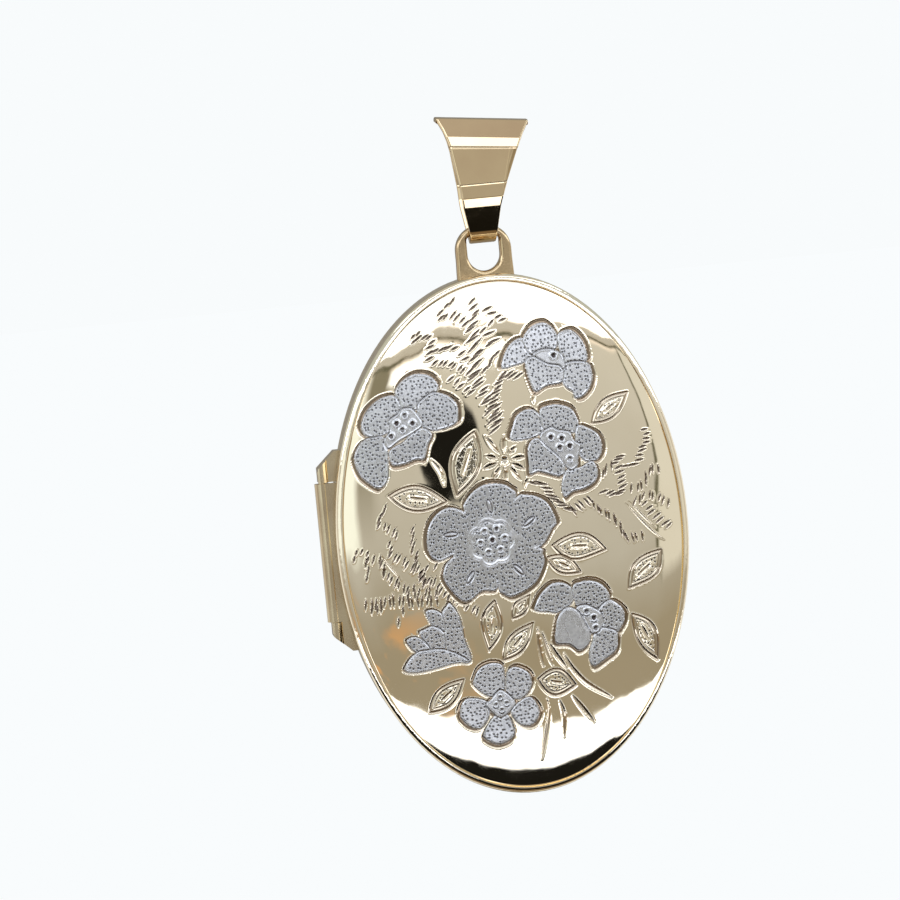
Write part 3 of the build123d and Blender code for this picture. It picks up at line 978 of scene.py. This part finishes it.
def bail_piece(material):
    """Folded strap with flat facets, bevelled side edges and a plain inside."""
    outer = bail_profile()
    count = len(outer)
    along = np.roll(outer, -1, 0) - np.roll(outer, 1, 0)
    normal = np.stack([along[:, 1], -along[:, 0]], 1)
    normal /= np.linalg.norm(normal, axis=1, keepdims=True)
    inner = outer - normal * BAIL_WALL
    width = bail_width(outer[:, 0], outer[:, 1])
    slope = np.where(outer[:, 1] > 0.40, 0, np.clip((outer[:, 1] + 2.6) / 3.0, 0, 1))
    edge = outer - normal * BAIL_EDGE_DROP
    low = outer - normal * (BAIL_WALL - 0.04)
    rows = []
    for side, order, bevel in ((-1, 1, BAIL_BEVEL), (1, -1, BAIL_BEVEL + BAIL_RIGHT_BEVEL * slope)):
        ring = [
            (width - 0.05, inner),
            (width, low),
            (width, edge - normal * 0.02),
            (width - 0.02, edge + normal * 0.01),
            (width - bevel + 0.03, outer - normal * 0.02),
            (width - bevel, outer - normal * 0.025),
            (width - bevel - 0.03, outer),
            (width - bevel - 0.05, outer),
        ]
        for reach, line in ring[::order]:
            rows.append(np.stack([side * reach, line[:, 0], line[:, 1]], 1))
    points = np.concatenate(rows) * MM
    faces = []
    for r in range(len(rows)):
        s = (r + 1) % len(rows)
        for k in range(count):
            m = (k + 1) % count
            faces.append((r * count + k, r * count + m, s * count + m, s * count + k))
    x = points[:, 0].copy()
    rise = np.maximum(points[:, 2] / MM - BAR_Z - LEAN_START, 0)
    lean = math.sin(math.radians(BAIL_LEAN)) * np.clip(rise, 0, 1)
    points[:, 0] += rise * MM * lean
    points[:, 2] -= x * lean * np.clip(rise / 2 - 1, 0, 1)
    return add_piece("bail_strap", points, faces, "bail", material, "bail")


# ------------------------------------------------------------ carried-over nodes

POLISHED = ((0.90, 0.78, 0.57), (0.86, 0.74, 0.53))
BAIL = ((0.70, 0.535, 0.31), (0.65, 0.485, 0.28))
# cast loop's gold: darker than the polished gold, as painted shade over the whole part
CAST_SHADED = ((0.54, 0.40, 0.22), (0.44, 0.31, 0.165))
# hinge gold: darker than the polished gold, as painted shade for the set-back hinge
HINGE_SHADED = ((0.61, 0.50, 0.32), (0.51, 0.40, 0.25))


def finish_nodes():
    """Give every carried-over CAD node its finish, by its material slot."""
    finishes = {
        "polished_gold": gold("polished_gold", *POLISHED, 0.07),
        "bail_gold": gold("bail_gold", *BAIL, 0.05),
        "lip_gold": gold("lip_gold", *POLISHED, 0.14),
        "cast_gold": gold("cast_gold", *CAST_SHADED, 0.17, 0.003, 0.0003),
        "hinge_gold": gold("hinge_gold", *HINGE_SHADED, 0.13, 0.002, 0.0003),
        "inner_gold": gold("inner_gold", *POLISHED, 0.25, 0.001, 0.0005),
        "frame_gold": gold("frame_gold", *POLISHED, 0.10),
        "photo_paper": photo_paper(),
        "clear_window": clear_window(),
    }
    slots = {part["node"]: part["material_slot"] for part in frame["record"]["subparts"]}
    for name, node in frame["nodes"].items():
        if node.hide_render or slots[name] not in finishes:
            continue
        node.data.materials.clear()
        node.data.materials.append(finishes[slots[name]])
    return finishes


# ------------------------------------------------------------------ stage, light


class Sky(Graph):
    """The studio that the metal mirrors, painted in layers by direction in degrees."""

    def __init__(self):
        world = bpy.data.worlds.new("studio")
        bpy.context.scene.world = world
        world.use_nodes = True
        self.tree = world.node_tree
        self.tree.nodes.clear()
        way = self.add("ShaderNodeTexCoord").outputs["Generated"]
        x, y, z = self.add("ShaderNodeSeparateXYZ", Vector=way).outputs
        degrees = 180 / math.pi
        self.height = self.times(self.maths("ARCSINE", z), degrees)
        self.turn = self.times(self.maths("ARCTAN2", x, self.times(y, -1)), degrees)
        sway = self.maths("MULTIPLY_ADD", self.wobble(way, 9.0, 3.0), 0.25, self.wobble(way, 2.2, 2.0))
        self.wavy_height = self.maths("MULTIPLY_ADD", sway, 8.0, self.height)
        self.wavy_turn = self.maths("MULTIPLY_ADD", sway, -14.0, self.turn)
        self.mottle = self.wobble(way, 22.0, 4.0)
        self.patches = self.wobble(self.mapped(way, PATCH_SQUEEZE), 14.0, 3.0)
        self.room = self.mix(self.span(self.wavy_height, -12, 10), ROOM_MIDDLE, ROOM_HIGH)

    def wobble(self, way, scale, detail):
        """Smooth noise round zero, by direction."""
        return self.maths("SUBTRACT", self.ripple(way, scale, detail), 0.5)

    def between(self, angle, low, high, soft):
        """1 between two angles, with soft edges this wide."""
        up = self.span(angle, low - soft, low + soft)
        return self.times(up, self.span(angle, high + soft, high - soft))

    def paint(self, mask, colour):
        """Lay a colour over the room where the mask is 1."""
        self.room = self.mix(mask, self.room, colour)

    def paint_from(self, angle, start, soft, colour):
        """Lay a colour over everything past an angle; a negative edge paints downwards."""
        self.paint(self.span(angle, start, start + soft), colour)

    def output(self, colour):
        surface = self.add("ShaderNodeBackground", Color=colour)
        self.add("ShaderNodeOutputWorld", Surface=surface.outputs[0])


BACKDROP = (0.94, 0.965, 0.975)
ROOM_MIDDLE = (0.52, 0.53, 0.54)
ROOM_HIGH = (0.72, 0.73, 0.74)
ROOM_LOW = (0.38, 0.35, 0.29)
ROOM_SPOTS = (0.70, 0.44, 0.24)
PATCH_SQUEEZE = (0.5, 0.5, 1.8)
PANEL = (2.6, 2.8, 3.3)
PANEL_EDGE = (0.15, 0.15, 0.11)
LEDGE = (0.62, 0.62, 0.62)
DARK = (0.012, 0.012, 0.011)
BELOW = (0.26, 0.19, 0.12)
CEILING = (0.66, 0.65, 0.68)
STREAK = (0.27, 0.26, 0.21)
LEFT_SIDE = (1.10, 1.22, 1.30)
RIGHT_LINE = (0.15, 0.15, 0.11)
RIGHT_SIDE = (0.80, 0.82, 0.83)
FAR_SIDE = (0.60, 0.57, 0.55)
BEHIND = (0.95, 0.97, 1.0)
BEHIND_HIGH = (0.55, 0.60, 0.60)
BEHIND_MIDDLE = (0.32, 0.30, 0.26)
LENS = (-0.1, 0.7, 4.6, 4.0)
PANEL_START = 11.5
PANEL_END = 26
HIGH_PANEL = (46, 55)
BAND = (7.6, 9.3)
BAND_RIGHT = 13
ABOVE_BAND = (1.12, 1.06, 1.05)
BETWEEN = (0.60, 0.66, 0.72)
SIDE_LOW = -7.5
RIGHT_LOW = -11.5
LOW_PANEL = (-26.4, -21.3)
DARK_END = -50
RIGHT_EDGE = (31.6, 32.4)
STREAK_SPAN = (-15.0, -10.5)


def paint_world():
    """A soft studio: bright panels above and below, a mid-grey room in front, pale sides."""
    sky = Sky()
    sky.paint_from(sky.wavy_height, -8, -7, ROOM_LOW)
    spots = sky.times(sky.span(sky.patches, 0.02, 0.12), sky.span(sky.height, -10, -14))
    sky.paint(sky.times(spots, sky.span(sky.turn, 5, -10)), ROOM_SPOTS)
    streak = sky.between(sky.wavy_turn, *STREAK_SPAN, 0.8)
    sky.paint(sky.times(streak, sky.span(sky.height, -6, 2)), STREAK)
    left = sky.span(sky.wavy_turn, STREAK_SPAN[0], STREAK_SPAN[0] - 3)
    sky.paint(sky.times(left, sky.span(sky.wavy_height, SIDE_LOW, SIDE_LOW + 2)), LEFT_SIDE)
    right = sky.span(sky.wavy_height, RIGHT_LOW, RIGHT_LOW + 1.5)
    sky.paint(sky.times(sky.span(sky.wavy_turn, *RIGHT_EDGE), right), RIGHT_SIDE)
    sky.paint(sky.times(sky.between(sky.wavy_turn, *RIGHT_EDGE, 0.25), right), RIGHT_LINE)
    inner = sky.between(sky.wavy_turn, STREAK_SPAN[1], RIGHT_EDGE[0], 1.5)
    above = sky.span(sky.wavy_height, BAND[1] - 0.3, BAND[1] + 0.3)
    sky.paint(sky.times(above, inner), ABOVE_BAND)
    inner = sky.between(sky.wavy_turn, STREAK_SPAN[1], BAND_RIGHT, 1.0)
    sky.paint(sky.times(sky.between(sky.wavy_height, *BAND, 0.3), inner), PANEL)
    aside = sky.maths("ABSOLUTE", sky.turn)
    sky.paint_from(aside, 55, 25, FAR_SIDE)
    sky.paint(sky.between(sky.wavy_height, PANEL_START - 1.1, PANEL_START, 0.1), LEDGE)
    sky.paint(sky.between(sky.wavy_height, PANEL_START - 1.7, PANEL_START - 1.15, 0.2), PANEL_EDGE)
    sky.paint_from(sky.wavy_height, PANEL_START, 0.4, PANEL)
    sky.paint_from(sky.height, PANEL_END, 0.8, BETWEEN)
    sky.paint_from(sky.height, HIGH_PANEL[0], 0.8, PANEL)
    sky.paint_from(sky.height, HIGH_PANEL[1], 0.8, CEILING)
    sky.paint_from(sky.wavy_height, LOW_PANEL[1], -0.5, PANEL)
    sky.paint_from(sky.wavy_height, LOW_PANEL[0], -0.6, DARK)
    sky.paint_from(sky.height, DARK_END, -6, BELOW)
    sky.paint_from(aside, 85, 15, sky.mix(sky.span(sky.height, 6, 16), BEHIND, BEHIND_HIGH))
    sky.paint_from(aside, 150, 8, BEHIND_MIDDLE)
    across = sky.maths("DIVIDE", sky.maths("SUBTRACT", sky.turn, LENS[0]), LENS[2])
    along = sky.maths("DIVIDE", sky.maths("SUBTRACT", sky.height, LENS[1]), LENS[3])
    reach = sky.maths("ADD", sky.times(across, across), sky.times(along, along))
    reach = sky.maths("MULTIPLY_ADD", sky.mottle, 0.5, reach)
    sky.paint(sky.span(reach, 1.1, 0.9), DARK)
    shown = sky.add("ShaderNodeLightPath").outputs["Is Camera Ray"]
    sky.output(sky.mix(shown, sky.room, BACKDROP))


FLOOR_DROP = 20 * MM
FLOOR_HALF = 2.0
FLOOR_BASE = (0.01, 0.01, 0.01)
FLOOR_GLOW = 0.998


def lay_floor():
    """Plain pale floor below the object."""
    level = cad_box[0][2] - FLOOR_DROP
    mesh = bpy.data.meshes.new("floor")
    corners = [(-1, -1), (1, -1), (1, 1), (-1, 1)]
    mesh.from_pydata([(FLOOR_HALF * x, FLOOR_HALF * y, level) for x, y in corners], [], [(0, 1, 2, 3)])
    floor = bpy.data.objects.new("floor", mesh)
    bpy.context.scene.collection.objects.link(floor)
    n = Nodes("floor_pale")
    n.set(Base_Color=FLOOR_BASE, Roughness=1.0, Specular_IOR_Level=0.0)
    n.set(Emission_Color=BACKDROP, Emission_Strength=FLOOR_GLOW)
    mesh.materials.append(n.material)
    floor.visible_glossy = False
    floor.visible_diffuse = False


CAMERA_TURN = -7.0
CAMERA_RISE = 4.5
CAMERA_ROLL = 5.45
CAMERA_FAR = 180 * MM
VIEW_WIDTH = 54.5 * MM
CASE_RIGHT = 3.79 * MM
CASE_DOWN = 5.09 * MM
SENSOR = 36.0


def place_camera():
    """Camera from slightly left and above, rolled so the case leans as in the picture."""
    turn, rise, roll = (math.radians(a) for a in (CAMERA_TURN, CAMERA_RISE, CAMERA_ROLL))
    away = Vector((math.sin(turn) * math.cos(rise), -math.cos(turn) * math.cos(rise), math.sin(rise)))
    right = Vector((math.cos(turn), math.sin(turn), 0))
    up = away.cross(right)
    tilted_right = right * math.cos(roll) - up * math.sin(roll)
    tilted_up = up * math.cos(roll) + right * math.sin(roll)
    rim_low, rim_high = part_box("cover_rim")
    case_middle = (rim_low + rim_high) / 2
    aim = case_middle - tilted_right * CASE_RIGHT + tilted_up * CASE_DOWN
    camera = bpy.data.cameras.new("camera")
    camera.sensor_width = SENSOR
    camera.lens = SENSOR * CAMERA_FAR / VIEW_WIDTH
    camera.clip_start = 0.01
    holder = bpy.data.objects.new("camera", camera)
    bpy.context.scene.collection.objects.link(holder)
    rows = [list(row) for row in zip(tilted_right, tilted_up, away, aim + away * CAMERA_FAR)]
    holder.matrix_world = Matrix([*rows, [0, 0, 0, 1]])
    bpy.context.scene.camera = holder


engraved_plate()
finishes = finish_nodes()
bail_piece(finishes["bail_gold"])
paint_world()
lay_floor()
place_camera()
bpy.context.scene.view_settings.view_transform = "Standard"
